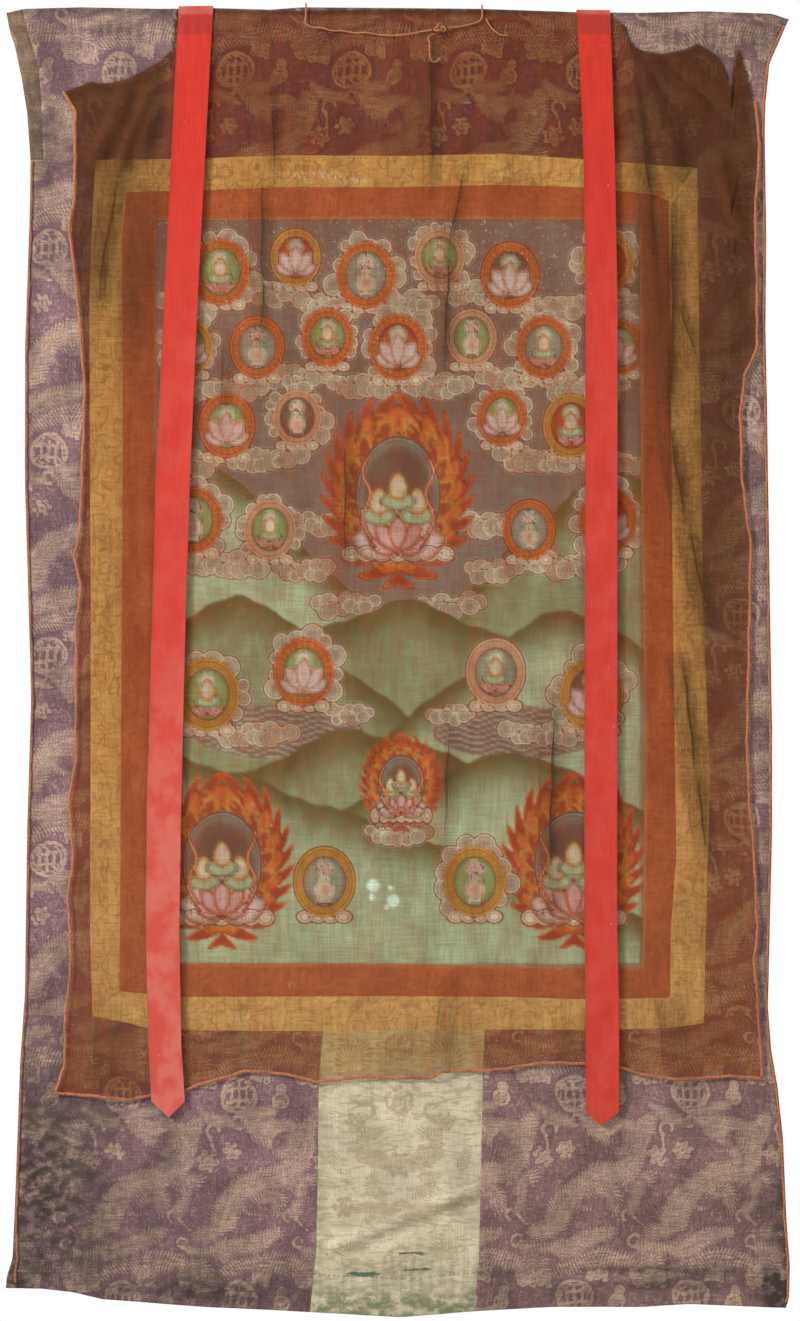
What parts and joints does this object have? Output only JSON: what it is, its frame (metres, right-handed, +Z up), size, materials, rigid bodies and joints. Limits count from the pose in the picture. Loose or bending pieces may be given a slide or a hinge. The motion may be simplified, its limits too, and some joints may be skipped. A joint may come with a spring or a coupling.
{
  "type": "thangka scroll painting",
  "caption": "Painted cloth in brocade borders on a damask mount, hung by its top edge, with a sheer veil, ribbons and a cord in front.",
  "frame": {"origin": "middle of the mount's top edge", "axes": "+Z up the hanging cloth, -Y out of its painted front, +X to the right seen from the front"},
  "size_m": [0.9775, 0.0184, 1.6407],
  "materials": {
    "damask": "matt silk damask",
    "olive_facing": "matt worn silk",
    "pale_silk": "soft silk",
    "yellow_brocade": "silk brocade",
    "red_brocade": "silk brocade",
    "painted_cotton": "matt painted cotton",
    "brown_gauze": "sheer gauze",
    "orange_binding": "matt cotton",
    "red_ribbon": "woven silk",
    "orange_cord": "twisted cotton"
  },
  "bodies": {
    "root": {"mount_top": "damask", "mount_left": "damask", "mount_right": "damask", "mount_bottom_left": "damask", "mount_bottom_right": "damask", "facing_strip": "olive_facing", "door_panel": "pale_silk", "band_yellow_top": "yellow_brocade", "band_yellow_right": "yellow_brocade", "band_yellow_bottom": "yellow_brocade", "band_yellow_left": "yellow_brocade", "band_red_top": "red_brocade", "band_red_right": "red_brocade", "band_red_bottom": "red_brocade", "band_red_left": "red_brocade", "painting_canvas": "painted_cotton", "edge_piping_left": "orange_binding", "edge_piping_right": "orange_binding", "veil": "brown_gauze", "veil_binding_left": "orange_binding", "veil_binding_bottom": "orange_binding", "veil_binding_right": "orange_binding", "ribbon_left": "red_ribbon", "ribbon_right": "red_ribbon", "cord_left": "orange_cord", "cord_right": "orange_cord", "cord_knot": "orange_cord", "cord_tail_knot": "orange_cord", "cord_tail_right": "orange_cord"}
  },
  "joints": []
}
